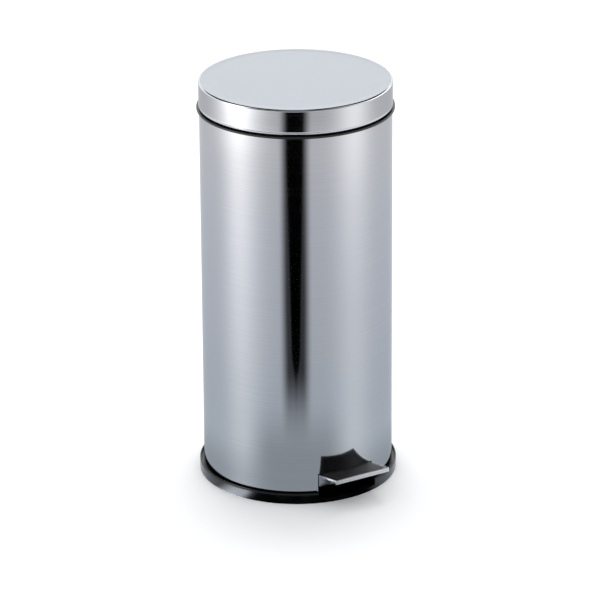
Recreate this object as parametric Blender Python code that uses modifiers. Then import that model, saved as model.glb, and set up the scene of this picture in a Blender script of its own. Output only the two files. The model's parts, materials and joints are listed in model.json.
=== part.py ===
"""Pedal trash can: round steel can with a hinged lid, a pedal linkage and a lift-out bucket.

Frame: origin on the can's axis at floor level, +Z up, pedal towards -Y, lid hinge towards +Y.
Run with: blender --background --python part.py
"""

import math

import bmesh
import bpy
from mathutils import Matrix, Vector

MM = 0.001
GAP = 0.3 * MM  # clearance kept between pieces that touch

# Driving dimensions of the can
HEIGHT = 630 * MM
LID_R = 146.5 * MM
LID_SHEET = 1.0 * MM
LID_SIDE = 38 * MM
LID_EDGE_R = 4.5 * MM
BODY_R = 145.4 * MM
BODY_SHEET = 0.8 * MM
COLLAR_R = 149.3 * MM
COLLAR_LIP = 3.2 * MM
BASE_R = 152 * MM
BASE_HEIGHT = 16.5 * MM
BASE_FLOOR = 3 * MM
BUCKET_RIM_R = 128.5 * MM
BUCKET_BOTTOM_Z = 48 * MM

# Heights worked out from them
LID_LOW_Z = HEIGHT - LID_SIDE
DECK_Z = LID_LOW_Z - 2.6 * MM
LIP_LOW_Z = DECK_Z - COLLAR_LIP
BODY_TOP_Z = LIP_LOW_Z + 0.5 * MM
BODY_LOW_Z = BASE_HEIGHT + GAP
SHOULDER_Z = DECK_Z + 11.6 * MM
BODY_IN_R = BODY_R - BODY_SHEET

# Joint axes and travels
HINGE_Y = 156 * MM
HINGE_Z = 602 * MM
PIN_R = 2.5 * MM
PIN_BORE_R = 2.75 * MM
LID_OPEN = math.radians(72)
PEDAL_Y = -30 * MM
PEDAL_Z = 22 * MM
PEDAL_RISE = math.radians(10.3)  # slope of the pedal up towards its front edge
ROD_TOP_Y = HINGE_Y - 17 * MM
ROD_LOW_Y = 131 * MM
ROD_X = -5.5 * MM
ROD_R = 1.8 * MM
HOOK_TOP_Z = HINGE_Z - (HINGE_Y - ROD_TOP_Y) * math.tan(LID_OPEN / 2)
HOOK_LOW_Z = 25 * MM
BAIL_Z = 602.4 * MM

# Pedal, measured along its own slope from the pivot
PEDAL_W = 95 * MM
PEDAL_BACK = 98 * MM
PEDAL_FRONT = 161.6 * MM
PEDAL_TOP = 2.6 * MM
PEDAL_RIM_LOW = -3.9 * MM
PEDAL_WALL = 1.6 * MM
PEDAL_PLATE_TOP = -0.9 * MM
PEDAL_PLATE_LOW = -2.4 * MM
PAD_TOP = 3.4 * MM
CHEEK_LOW = -17.5 * MM
LEVER_W = 34 * MM
LEVER_T = 3 * MM

SEGMENTS = 64
INNER_SEGMENTS = 48
SMALL_SEGMENTS = 20
SCREW_SEGMENTS = 14

COLOURS = {
    "polished_steel": ((0.60, 0.63, 0.66), 0.12, 1.0),
    "satin_steel": ((0.62, 0.66, 0.69), 0.30, 1.0),
    "bright_steel": ((0.78, 0.79, 0.80), 0.10, 1.0),
    "plain_steel": ((0.45, 0.46, 0.47), 0.40, 1.0),
    "black_gloss_plastic": ((0.02, 0.02, 0.022), 0.25, 0.0),
    "black_plastic": ((0.03, 0.03, 0.032), 0.50, 0.0),
    "grey_plastic": ((0.16, 0.16, 0.17), 0.50, 0.0),
    "black_rubber": ((0.018, 0.018, 0.02), 0.80, 0.0),
}


def clear_scene():
    for obj in list(bpy.data.objects):
        bpy.data.objects.remove(obj, do_unlink=True)


def new_collection(name, hidden=False):
    collection = bpy.data.collections.new(name)
    bpy.context.scene.collection.children.link(collection)
    collection.hide_render = hidden
    return collection


def material(name):
    found = bpy.data.materials.get(name)
    if found:
        return found
    colour, roughness, metallic = COLOURS[name]
    made = bpy.data.materials.new(name)
    made.use_nodes = True
    shader = made.node_tree.nodes["Principled BSDF"]
    shader.inputs["Base Color"].default_value = (*colour, 1)
    shader.inputs["Roughness"].default_value = roughness
    shader.inputs["Metallic"].default_value = metallic
    made.diffuse_color = (*colour, 1)
    return made


clear_scene()
PARTS = new_collection("pedal_trash_can")
HELPERS = new_collection("cutters", hidden=True)

# Maps a flat outline's own X, Y, Z to the can's Y, Z, X: a side view, extruded across the can
SIDE_VIEW = Matrix(((0, 0, 1, 0), (1, 0, 0, 0), (0, 1, 0, 0), (0, 0, 0, 1)))
ALONG_X = Matrix.Rotation(math.pi / 2, 4, "Y")
ALONG_Y = Matrix.Rotation(-math.pi / 2, 4, "X")
PEDAL_FRAME = Matrix.Translation((0, PEDAL_Y, PEDAL_Z)) @ Matrix.Rotation(-PEDAL_RISE, 4, "X")


def add(name, mesh, finish, matrix=None):
    """Links a mesh as a part, or as a helper when it has no finish."""
    obj = bpy.data.objects.new(name, mesh)
    if finish:
        mesh.materials.append(material(finish))
        PARTS.objects.link(obj)
    else:
        obj.hide_render = True
        obj.display_type = "WIRE"
        HELPERS.objects.link(obj)
    if matrix:
        obj.matrix_world = matrix
    return obj


def turned(name, profile, finish=None, segments=SEGMENTS):
    """A profile of (radius, height) points, outer side running down, turned about +Z."""
    mesh = bpy.data.meshes.new(name)
    edges = [(i, i + 1) for i in range(len(profile) - 1)]
    if profile[0][0] > 0:
        edges.append((len(profile) - 1, 0))
    mesh.from_pydata([(r, 0, z) for r, z in profile], edges, [])
    obj = add(name, mesh, finish)
    screw = obj.modifiers.new("turn", "SCREW")
    screw.axis = "Z"
    screw.steps = segments
    screw.render_steps = segments
    screw.use_merge_vertices = True
    screw.merge_threshold = 0.00001
    screw.use_smooth_shade = True
    return obj


def box(name, low, high, finish=None, matrix=None):
    low = Vector(low)
    high = Vector(high)
    shape = bmesh.new()
    placed = Matrix.Translation((low + high) / 2) @ Matrix.Diagonal((*(high - low), 1))
    bmesh.ops.create_cube(shape, size=1, matrix=placed)
    mesh = bpy.data.meshes.new(name)
    shape.to_mesh(mesh)
    shape.free()
    return add(name, mesh, finish, matrix)


def cylinder(name, centre, radius, length, turn=None, finish=None, segments=SMALL_SEGMENTS, top=None, matrix=None):
    """A cylinder or cone along +Z, or along another axis when it is given a turn."""
    shape = bmesh.new()
    placed = Matrix.Translation(centre) @ (turn or Matrix.Identity(4))
    bmesh.ops.create_cone(
        shape, cap_ends=True, segments=segments, radius1=radius,
        radius2=radius if top is None else top, depth=length, matrix=placed,
    )
    mesh = bpy.data.meshes.new(name)
    shape.to_mesh(mesh)
    shape.free()
    mesh.shade_smooth()
    mesh.set_sharp_from_angle(angle=math.radians(40))
    return add(name, mesh, finish, matrix)


def curve_to_mesh(name, curve, matrix, finish):
    """The curve's evaluated shape as a mesh object with welded caps."""
    source = bpy.data.objects.new(name + "_curve", curve)
    HELPERS.objects.link(source)
    source.matrix_world = matrix
    bpy.context.view_layer.update()
    evaluated = source.evaluated_get(bpy.context.evaluated_depsgraph_get())
    mesh = bpy.data.meshes.new_from_object(evaluated)
    bpy.data.objects.remove(source, do_unlink=True)
    shape = bmesh.new()
    shape.from_mesh(mesh)
    bmesh.ops.remove_doubles(shape, verts=shape.verts, dist=0.00001)
    shape.to_mesh(mesh)
    shape.free()
    mesh.materials.clear()
    return add(name, mesh, finish, matrix)


def outline(name, points, thickness, finish=None, frame=SIDE_VIEW, centre=0.0):
    """A flat outline of (y, z) points, extruded across the can about x = centre."""
    curve = bpy.data.curves.new(name, "CURVE")
    curve.dimensions = "2D"
    curve.fill_mode = "BOTH"
    curve.extrude = thickness / 2
    spline = curve.splines.new("POLY")
    spline.points.add(len(points) - 1)
    for point, (a, b) in zip(spline.points, points):
        point.co = (a, b, 0, 1)
    spline.use_cyclic_u = True
    placed = Matrix.Translation((centre, 0, 0)) @ frame
    return curve_to_mesh(name, curve, placed, finish)


def wire(name, points, radius, finish):
    """A round wire through the points."""
    curve = bpy.data.curves.new(name, "CURVE")
    curve.dimensions = "3D"
    curve.bevel_depth = radius
    curve.bevel_resolution = 2
    curve.use_fill_caps = True
    spline = curve.splines.new("POLY")
    spline.points.add(len(points) - 1)
    for point, place in zip(spline.points, points):
        point.co = (*place, 1)
    obj = curve_to_mesh(name, curve, Matrix.Identity(4), finish)
    obj.data.shade_smooth()
    obj.data.set_sharp_from_angle(angle=math.radians(50))
    return obj


def boolean(obj, other, operation):
    """Adds the step, and parents the helper so that it moves with the piece it shapes."""
    step = obj.modifiers.new(operation.lower() + "_" + other.name, "BOOLEAN")
    step.operation = operation
    step.solver = "EXACT"
    step.object = other
    if not other.parent:
        other.parent = obj
        other.matrix_parent_inverse = obj.matrix_world.inverted()


def cut(obj, *cutters):
    for cutter in cutters:
        boolean(obj, cutter, "DIFFERENCE")


def join(obj, *others):
    for other in others:
        boolean(obj, other, "UNION")


def arc(centre, radius, start, end, count):
    """Points on an arc in a flat outline, angles in degrees."""
    points = []
    for i in range(count + 1):
        angle = math.radians(start + (end - start) * i / count)
        points.append((centre[0] + radius * math.cos(angle), centre[1] + radius * math.sin(angle)))
    return points


def slope(along, up):
    """(y, z) of a point given along and above the pedal's own slope."""
    y = PEDAL_Y - along * math.cos(PEDAL_RISE) + up * math.sin(PEDAL_RISE)
    z = PEDAL_Z + along * math.sin(PEDAL_RISE) + up * math.cos(PEDAL_RISE)
    return y, z


# ---------------------------------------------------------------- can body

SLOT_HALF_W = PEDAL_W / 2 + 1.2 * MM
SLOT_TOP_Z = 47.2 * MM
HOUSING_SCREW_X = 22 * MM
HOUSING_SCREW_Z = 556 * MM
GUIDE_ZS = (230 * MM, 520 * MM)
RIVET_X = 4.5 * MM


def body_shell():
    hem = 5 * MM
    fold = 1.0 * MM
    profile = [
        (BODY_R, BODY_TOP_Z),
        (BODY_R, BODY_LOW_Z + 0.8 * MM),
        (BODY_R - 0.8 * MM, BODY_LOW_Z),
        (BODY_IN_R - fold + GAP, BODY_LOW_Z),
        (BODY_IN_R - fold + GAP, BODY_LOW_Z + hem),
        (BODY_IN_R, BODY_LOW_Z + hem + fold),
        (BODY_IN_R, BODY_TOP_Z),
    ]
    shell = turned("body_shell", profile, "polished_steel")
    slot = box("pedal_slot", (-SLOT_HALF_W, -160 * MM, 0), (SLOT_HALF_W, -120 * MM, SLOT_TOP_Z))
    cut(shell, slot)
    for side in (-1, 1):
        hole = cylinder(
            f"shell_screw_hole_{side}", (side * HOUSING_SCREW_X, 143 * MM, HOUSING_SCREW_Z), 2.4 * MM,
            20 * MM, ALONG_Y,
        )
        cut(shell, hole)
    for i, z in enumerate(GUIDE_ZS):
        hole = cylinder(f"shell_rivet_hole_{i}", (RIVET_X, 145 * MM, z), 2.0 * MM, 20 * MM, ALONG_Y)
        cut(shell, hole)


BOSS_XS = (-31 * MM, 31 * MM)
BOSS_YS = (-40 * MM, -20 * MM)
BOSS_TOP_Z = 8 * MM


def base_moulding():
    wall_in = 140.6 * MM
    wall_out = BODY_IN_R - 1.0 * MM
    groove = (143.5 * MM, 149.5 * MM, 5 * MM)
    profile = [
        (0, BASE_FLOOR),
        (wall_in, BASE_FLOOR),
        (wall_in, 28 * MM),
        (wall_out, 28 * MM),
        (wall_out, BASE_HEIGHT),
        (BASE_R - 2.2 * MM, BASE_HEIGHT),
        (BASE_R - 0.7 * MM, BASE_HEIGHT - 0.7 * MM),
        (BASE_R, BASE_HEIGHT - 2.2 * MM),
        (BASE_R, 1 * MM),
        (BASE_R - 1 * MM, 0),
        (groove[1], 0),
        (groove[1], groove[2]),
        (groove[0], groove[2]),
        (groove[0], 0),
        (0, 0),
    ]
    base = turned("base_moulding", profile, "black_gloss_plastic")
    notch_half = SLOT_HALF_W + 1.8 * MM
    notch = box("pedal_notch", (-notch_half, -160 * MM, 6.5 * MM), (notch_half, -125 * MM, 40 * MM))
    cut(base, notch)
    for i, x in enumerate(BOSS_XS):
        for j, y in enumerate(BOSS_YS):
            boss = cylinder(f"floor_boss_{i}{j}", (x, y, 5 * MM), 5 * MM, 6 * MM)
            hole = cylinder(f"floor_boss_hole_{i}{j}", (x, y, 6 * MM), 1.9 * MM, 7 * MM, segments=SCREW_SEGMENTS)
            join(base, boss)
            cut(base, hole)
    inner = groove[0] + GAP
    outer = groove[1] - GAP
    top = groove[2] - GAP
    ring = [(outer, top), (outer, 0), (inner, 0), (inner, top)]
    turned("base_grip_ring", ring, "black_rubber")


def top_collar():
    upstand = 139.5 * MM
    ledge_z = SHOULDER_Z - 3.4 * MM
    skirt_out = BODY_IN_R - GAP
    lip_in = BODY_R + GAP
    wall = 2.4 * MM
    profile = [
        (BUCKET_RIM_R + 2.7 * MM, SHOULDER_Z),
        (upstand - 0.5 * MM, SHOULDER_Z),
        (upstand, SHOULDER_Z - 0.5 * MM),
        (upstand, DECK_Z),
        (COLLAR_R - 0.5 * MM, DECK_Z),
        (COLLAR_R, DECK_Z - 0.5 * MM),
        (COLLAR_R, LIP_LOW_Z),
        (lip_in, LIP_LOW_Z),
        (lip_in, BODY_TOP_Z + GAP),
        (skirt_out, BODY_TOP_Z + GAP),
        (skirt_out, 566 * MM),
        (skirt_out - wall, 566 * MM),
        (skirt_out - wall, DECK_Z - 4.5 * MM),
        (upstand - wall, DECK_Z - 0.5 * MM),
        (upstand - wall, SHOULDER_Z - wall),
        (BUCKET_RIM_R + 2.7 * MM + wall, SHOULDER_Z - wall),
        (BUCKET_RIM_R + 2.7 * MM + wall, ledge_z - wall),
        (BUCKET_RIM_R - 4 * MM, ledge_z - wall),
        (BUCKET_RIM_R - 4 * MM, ledge_z),
        (BUCKET_RIM_R + 2.7 * MM, ledge_z),
    ]
    collar = turned("top_collar", profile, "black_plastic")
    cut(collar, box("lever_notch", (-9.5 * MM, 126.5 * MM, 583.5 * MM), (7.5 * MM, 153 * MM, 605 * MM)))


def hinge_housing():
    """Plastic block behind the can that carries the lid's hinge pin between two ears."""
    half = 34 * MM
    front = 139 * MM
    ear_front = 150.5 * MM
    ear_r = 5.5 * MM
    back = 165 * MM
    low = 545 * MM
    top = 590 * MM
    block = [(front, low), (back - 8 * MM, low), (back, low + 10 * MM), (back, top - 4 * MM)]
    block += [(back - 4 * MM, top), (front, top)]
    housing = outline("hinge_housing", block, 2 * half, "black_plastic")
    for side in (-1, 1):
        ear = [(ear_front, top - 4 * MM), (ear_front, HINGE_Z)]
        ear += arc((HINGE_Y, HINGE_Z), ear_r, 180, 0, 10)[1:]
        ear += [(HINGE_Y + ear_r, top - 4 * MM)]
        lug = outline(f"hinge_ear_{side}", ear, 5 * MM, centre=side * 23 * MM)
        join(housing, lug)
    pocket = box(
        "housing_pocket", (-16 * MM, 151.5 * MM, low - 1 * MM), (16 * MM, back - 3 * MM, top - 3 * MM)
    )
    body_room = cylinder("housing_body_room", (0, 0, 550 * MM), BODY_R + GAP, 72.6 * MM, segments=SEGMENTS)
    lip_room = cylinder("housing_lip_room", (0, 0, 600 * MM), COLLAR_R + GAP, 28.4 * MM, segments=SEGMENTS)
    bore = cylinder("housing_bore", (0, HINGE_Y, HINGE_Z), PIN_BORE_R, 80 * MM, ALONG_X)
    cut(housing, pocket, body_room, lip_room, bore)
    for side in (-1, 1):
        hole = cylinder(
            f"housing_screw_hole_{side}", (side * HOUSING_SCREW_X, 147 * MM, HOUSING_SCREW_Z), 1.9 * MM,
            26 * MM, ALONG_Y, segments=SCREW_SEGMENTS,
        )
        cut(housing, hole)


def housing_screws():
    """Two screws that hold the housing from inside the can."""
    for number, side in enumerate((-1, 1), 1):
        x = side * HOUSING_SCREW_X
        screw = cylinder(
            f"housing_screw_{number}", (x, 140.4 * MM, HOUSING_SCREW_Z), 3.4 * MM, 2 * MM, ALONG_Y,
            "plain_steel", SCREW_SEGMENTS,
        )
        shank = cylinder(
            f"housing_screw_shank_{number}", (x, 148.5 * MM, HOUSING_SCREW_Z), 1.6 * MM, 16 * MM, ALONG_Y,
            segments=SCREW_SEGMENTS,
        )
        join(screw, shank)


def hinge_pin():
    pin = cylinder("hinge_pin", (0, HINGE_Y, HINGE_Z), PIN_R, 58 * MM, ALONG_X, "plain_steel")
    head = cylinder("hinge_pin_head", (-28.2 * MM, HINGE_Y, HINGE_Z), 4.2 * MM, 2.4 * MM, ALONG_X)
    join(pin, head)
    clip = cylinder("hinge_pin_clip", (26.8 * MM, HINGE_Y, HINGE_Z), 4.6 * MM, 1.4 * MM, ALONG_X, "plain_steel")
    cut(clip, cylinder("hinge_clip_bore", (26.8 * MM, HINGE_Y, HINGE_Z), PIN_BORE_R, 4 * MM, ALONG_X))


def rod_guides():
    """Two plastic guides inside the can that keep the push rod upright."""
    low, high = 100 * MM, 600 * MM
    inner, outer = BODY_IN_R - GAP, 160 * MM
    room = turned("guide_room", [(outer, high), (outer, low), (inner, low), (inner, high)])
    rod_room = cylinder("guide_rod_bore", (ROD_X, ROD_TOP_Y, 375 * MM), 2.2 * MM, 400 * MM)
    for number, z in enumerate(GUIDE_ZS, 1):
        half = 6 * MM
        guide = box(
            f"rod_guide_{number}", (-12 * MM, 133.5 * MM, z - half), (9 * MM, 146 * MM, z + half),
            "grey_plastic",
        )
        rivet_room = cylinder(f"guide_rivet_bore_{number}", (RIVET_X, 140 * MM, z), 2.0 * MM, 30 * MM, ALONG_Y)
        cut(guide, room, rod_room, rivet_room)
        rivet = cylinder(
            f"guide_rivet_{number}", (RIVET_X, 139.5 * MM, z), 1.6 * MM, 13 * MM, ALONG_Y, "plain_steel",
            SCREW_SEGMENTS,
        )
        dome = cylinder(
            f"guide_rivet_dome_{number}", (RIVET_X, BODY_R + 1.0 * MM, z), 3.2 * MM, 1.2 * MM, ALONG_Y,
            segments=SCREW_SEGMENTS, top=2.0 * MM,
        )
        join(rivet, dome)


# ---------------------------------------------------------------- lid

LINER_TOP_Z = HEIGHT - LID_SHEET - GAP
LINER_LOW_Z = 606.6 * MM
LINER_R = LID_R - LID_SHEET - 1.6 * MM
LEAF_TOP_Z = HINGE_Z + 4.2 * MM
LEAF_T = 2 * MM
LEAF_HALF_W = 18 * MM
LEAF_SCREW_Y = 136.5 * MM
LEAF_SCREW_X = 11 * MM


def lid_shell():
    hem = 5 * MM
    fold = 0.6 * MM
    inner = LID_R - LID_SHEET
    edge = arc((LID_R - LID_EDGE_R, HEIGHT - LID_EDGE_R), LID_EDGE_R, 90, 0, 5)
    inner_edge = arc((LID_R - LID_EDGE_R, HEIGHT - LID_EDGE_R), LID_EDGE_R - LID_SHEET, 0, 90, 3)
    profile = [(0, HEIGHT)] + edge + [
        (LID_R, LID_LOW_Z + 0.5 * MM),
        (LID_R - 0.5 * MM, LID_LOW_Z),
        (inner - fold, LID_LOW_Z),
        (inner - fold, LID_LOW_Z + hem),
        (inner, LID_LOW_Z + hem + fold),
    ] + inner_edge + [(0, HEIGHT - LID_SHEET)]
    shell = turned("lid_shell", profile, "satin_steel")
    notch = box("lid_hinge_notch", (-33 * MM, 120 * MM, 580 * MM), (33 * MM, 160 * MM, 616.5 * MM))
    cut(shell, notch)


def lid_liner():
    wall = 2.2 * MM
    flange_in = 134.5 * MM
    profile = [
        (0, LINER_TOP_Z),
        (LINER_R - 3 * MM, LINER_TOP_Z),
        (LINER_R, LINER_TOP_Z - 3 * MM),
        (LINER_R, LINER_LOW_Z),
        (flange_in, LINER_LOW_Z),
        (flange_in, LINER_LOW_Z + wall),
        (LINER_R - wall, LINER_LOW_Z + wall),
        (LINER_R - wall, LINER_TOP_Z - 3.1 * MM),
        (0, LINER_TOP_Z - 3.1 * MM),
    ]
    liner = turned("lid_liner", profile, "black_plastic")
    boss = box(
        "liner_boss", (-19 * MM, 131 * MM, LINER_LOW_Z), (19 * MM, 142.2 * MM, LINER_TOP_Z - 1 * MM)
    )
    join(liner, boss)
    for side in (-1, 1):
        hole = cylinder(
            f"liner_screw_hole_{side}", (side * LEAF_SCREW_X, LEAF_SCREW_Y, LINER_LOW_Z + 4 * MM), 1.8 * MM,
            10 * MM, segments=SCREW_SEGMENTS,
        )
        cut(liner, hole)


def lid_buffers():
    """Four rubber buffers on the liner's flange that the closed lid rests on."""
    length = LINER_LOW_Z - SHOULDER_Z - 2 * GAP
    reach = 137.2 * MM
    for number, angle in enumerate((-140, -40, 40, 140), 1):
        turn = math.radians(angle)
        place = (reach * math.cos(turn), reach * math.sin(turn), SHOULDER_Z + GAP + length / 2)
        cylinder(
            f"lid_buffer_{number}", place, 2.6 * MM, length, finish="black_rubber", segments=16, top=2.2 * MM
        )


def lid_hinge_leaf():
    """Steel leaf with the lid's knuckle and the slotted lever that the push rod lifts."""
    leaf = box(
        "lid_hinge_leaf", (-LEAF_HALF_W, 130.5 * MM, LEAF_TOP_Z - LEAF_T),
        (LEAF_HALF_W, HINGE_Y, LEAF_TOP_Z), "plain_steel",
    )
    knuckle = cylinder("leaf_knuckle", (0, HINGE_Y, HINGE_Z), 4.2 * MM, 2 * LEAF_HALF_W, ALONG_X)
    down = -math.degrees(LID_OPEN / 2)
    reach = (HINGE_Y - ROD_TOP_Y) / math.cos(LID_OPEN / 2)
    inner_r = HINGE_Y - ROD_TOP_Y - 0.4 * MM
    outer_r = reach + 0.4 * MM
    slot_half = 2.8 * MM

    def lever_point(distance):
        angle = math.radians(180 - down)
        return (HINGE_Y + distance * math.cos(angle), HINGE_Z + distance * math.sin(angle))

    bar = arc((HINGE_Y, HINGE_Z), 4 * MM, 90 - down, -90 - down, 8)
    bar += arc(lever_point(outer_r), slot_half + 2 * MM, 270 - down, 90 - down, 8)
    lever = outline("leaf_lever", bar, 2 * MM)
    slot = arc(lever_point(inner_r), slot_half, 90 - down, -90 - down, 8)
    slot += arc(lever_point(outer_r), slot_half, 270 - down, 90 - down, 8)
    join(leaf, knuckle, lever)
    cut(leaf, cylinder("leaf_bore", (0, HINGE_Y, HINGE_Z), PIN_BORE_R, 50 * MM, ALONG_X))
    cut(leaf, outline("leaf_slot", slot, 6 * MM))
    for number, side in enumerate((-1, 1), 1):
        x = side * LEAF_SCREW_X
        hole = cylinder(
            f"leaf_screw_hole_{number}", (x, LEAF_SCREW_Y, LEAF_TOP_Z), 1.9 * MM, 8 * MM,
            segments=SCREW_SEGMENTS,
        )
        cut(leaf, hole)
        head_top = LEAF_TOP_Z - LEAF_T - GAP
        screw = cylinder(
            f"leaf_screw_{number}", (x, LEAF_SCREW_Y, head_top - 0.7 * MM), 3 * MM, 1.4 * MM,
            finish="plain_steel", segments=SCREW_SEGMENTS,
        )
        shank = cylinder(
            f"leaf_screw_shank_{number}", (x, LEAF_SCREW_Y, head_top + 4 * MM), 1.5 * MM, 9 * MM,
            segments=SCREW_SEGMENTS,
        )
        join(screw, shank)


# ---------------------------------------------------------------- pedal linkage


def pedal_tray():
    """Pressed pedal plate with a raised rim and two deep cheeks, on the pedal's own slope."""
    side = [
        (-PEDAL_BACK, PEDAL_TOP),
        (-PEDAL_BACK, CHEEK_LOW),
        (-PEDAL_BACK - 6 * MM, CHEEK_LOW),
        (-PEDAL_FRONT + 12 * MM, PEDAL_RIM_LOW),
        (-PEDAL_FRONT, PEDAL_RIM_LOW),
        (-PEDAL_FRONT, PEDAL_TOP),
    ]
    half = PEDAL_W / 2
    inner = half - PEDAL_WALL
    tray = outline("pedal_tray", side, PEDAL_W, "bright_steel", PEDAL_FRAME @ SIDE_VIEW)
    front = -PEDAL_FRONT + PEDAL_WALL
    back = -PEDAL_BACK + 5 * MM
    pocket = box("tray_pocket", (-inner, front, PEDAL_PLATE_TOP), (inner, back, 20 * MM), matrix=PEDAL_FRAME)
    under = box("tray_under", (-inner, front, -30 * MM), (inner, back, PEDAL_PLATE_LOW), matrix=PEDAL_FRAME)
    cut(tray, pocket, under)
    for i, x in enumerate(RIVET_XS):
        hole = cylinder(
            f"tray_rivet_hole_{i}", (x, -RIVET_ALONG, -2 * MM), 2.3 * MM, 8 * MM, segments=SCREW_SEGMENTS,
            matrix=PEDAL_FRAME,
        )
        cut(tray, hole)


RIVET_XS = (-10 * MM, 10 * MM)
RIVET_ALONG = 128 * MM
PAD_LOW = PEDAL_PLATE_TOP + GAP


def pedal_pad():
    """Rubber pad in the tray, with a recess below for the rivet heads."""
    half = PEDAL_W / 2 - PEDAL_WALL - GAP
    low = (-half, -PEDAL_FRONT + PEDAL_WALL + GAP, PAD_LOW)
    high = (half, -PEDAL_BACK, PAD_TOP)
    pad = box("pedal_pad", low, high, "black_rubber", PEDAL_FRAME)
    bevel = pad.modifiers.new("round_edges", "BEVEL")
    bevel.width = 0.6 * MM
    bevel.segments = 1
    recess = box(
        "pad_recess", (-15 * MM, -RIVET_ALONG - 5 * MM, -0.01), (15 * MM, -RIVET_ALONG + 5 * MM, PAD_LOW + 1.6 * MM),
        matrix=PEDAL_FRAME,
    )
    cut(pad, recess)


def pedal_lever():
    """Bent steel bar from under the tray, over the pivot, to the rod at the back."""
    tray_gap = PEDAL_PLATE_LOW - GAP
    rear = 137 * MM
    low = PEDAL_Z + tray_gap - LEVER_T
    top = PEDAL_Z + tray_gap
    side = [
        slope(140 * MM, tray_gap),
        slope(0, tray_gap),
        (rear, top),
        (rear, low),
        slope(0, tray_gap - LEVER_T),
        slope(140 * MM, tray_gap - LEVER_T),
    ]
    lever = outline("pedal_lever", side, LEVER_W, "plain_steel")
    boss = cylinder("lever_boss", (0, PEDAL_Y, PEDAL_Z), 6.5 * MM, LEVER_W, ALONG_X)
    ear_side = [(ROD_LOW_Y - 7 * MM, top - 1 * MM), (rear, top - 1 * MM), (rear, HOOK_LOW_Z + 2 * MM)]
    ear_side += [(rear - 3 * MM, HOOK_LOW_Z + 5.5 * MM), (ROD_LOW_Y - 4 * MM, HOOK_LOW_Z + 5.5 * MM)]
    ear_side += [(ROD_LOW_Y - 7 * MM, HOOK_LOW_Z + 2 * MM)]
    ear = outline("lever_ear", ear_side, 3 * MM)
    join(lever, boss, ear)
    slot_half = 2.6 * MM
    slot = arc((ROD_LOW_Y - 0.4 * MM, HOOK_LOW_Z), slot_half, 90, 270, 8)
    slot += arc((ROD_LOW_Y + 2.4 * MM, HOOK_LOW_Z), slot_half, -90, 90, 8)
    bore = cylinder("lever_bore", (0, PEDAL_Y, PEDAL_Z), 4.3 * MM, 0.06, ALONG_X)
    cut(lever, bore, outline("lever_slot", slot, 8 * MM))
    for i, x in enumerate(RIVET_XS):
        hole = cylinder(
            f"lever_rivet_hole_{i}", (x, -RIVET_ALONG, -5 * MM), 2.3 * MM, 8 * MM, segments=SCREW_SEGMENTS,
            matrix=PEDAL_FRAME,
        )
        cut(lever, hole)


def pedal_rivets():
    for number, x in enumerate(RIVET_XS, 1):
        head_low = PEDAL_PLATE_TOP + GAP
        rivet = cylinder(
            f"pedal_rivet_{number}", (x, -RIVET_ALONG, head_low + 0.5 * MM), 3.6 * MM, 1 * MM,
            finish="plain_steel", segments=SCREW_SEGMENTS, matrix=PEDAL_FRAME,
        )
        shank = cylinder(
            f"pedal_rivet_shank_{number}", (x, -RIVET_ALONG, -3.6 * MM), 2 * MM, 7.4 * MM,
            segments=SCREW_SEGMENTS, matrix=PEDAL_FRAME,
        )
        tail_top = PEDAL_PLATE_LOW - 2 * GAP - LEVER_T
        tail = cylinder(
            f"pedal_rivet_tail_{number}", (x, -RIVET_ALONG, tail_top - 0.6 * MM), 3.4 * MM, 1.2 * MM,
            segments=SCREW_SEGMENTS, matrix=PEDAL_FRAME,
        )
        join(rivet, shank, tail)


def push_rod():
    """Wire rod with a hook at each end: through the lever's ear below, the lid's lever above."""
    points = [
        (4.5 * MM, ROD_LOW_Y, HOOK_LOW_Z),
        (ROD_X + 2.2 * MM, ROD_LOW_Y, HOOK_LOW_Z),
        (ROD_X + 0.6 * MM, ROD_LOW_Y, HOOK_LOW_Z + 0.6 * MM),
        (ROD_X, ROD_LOW_Y, HOOK_LOW_Z + 2.2 * MM),
        (ROD_X, ROD_LOW_Y, 72 * MM),
        (ROD_X, ROD_LOW_Y + 1 * MM, 76 * MM),
        (ROD_X, ROD_TOP_Y - 1 * MM, 92 * MM),
        (ROD_X, ROD_TOP_Y, 96 * MM),
        (ROD_X, ROD_TOP_Y, HOOK_TOP_Z - 2.2 * MM),
        (ROD_X + 0.6 * MM, ROD_TOP_Y, HOOK_TOP_Z - 0.6 * MM),
        (ROD_X + 2.2 * MM, ROD_TOP_Y, HOOK_TOP_Z),
        (4.5 * MM, ROD_TOP_Y, HOOK_TOP_Z),
    ]
    wire("push_rod", points, ROD_R, "plain_steel")


BRACKET_IN = LEVER_W / 2 + 1.2 * MM
BRACKET_T = 2.4 * MM


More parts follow.
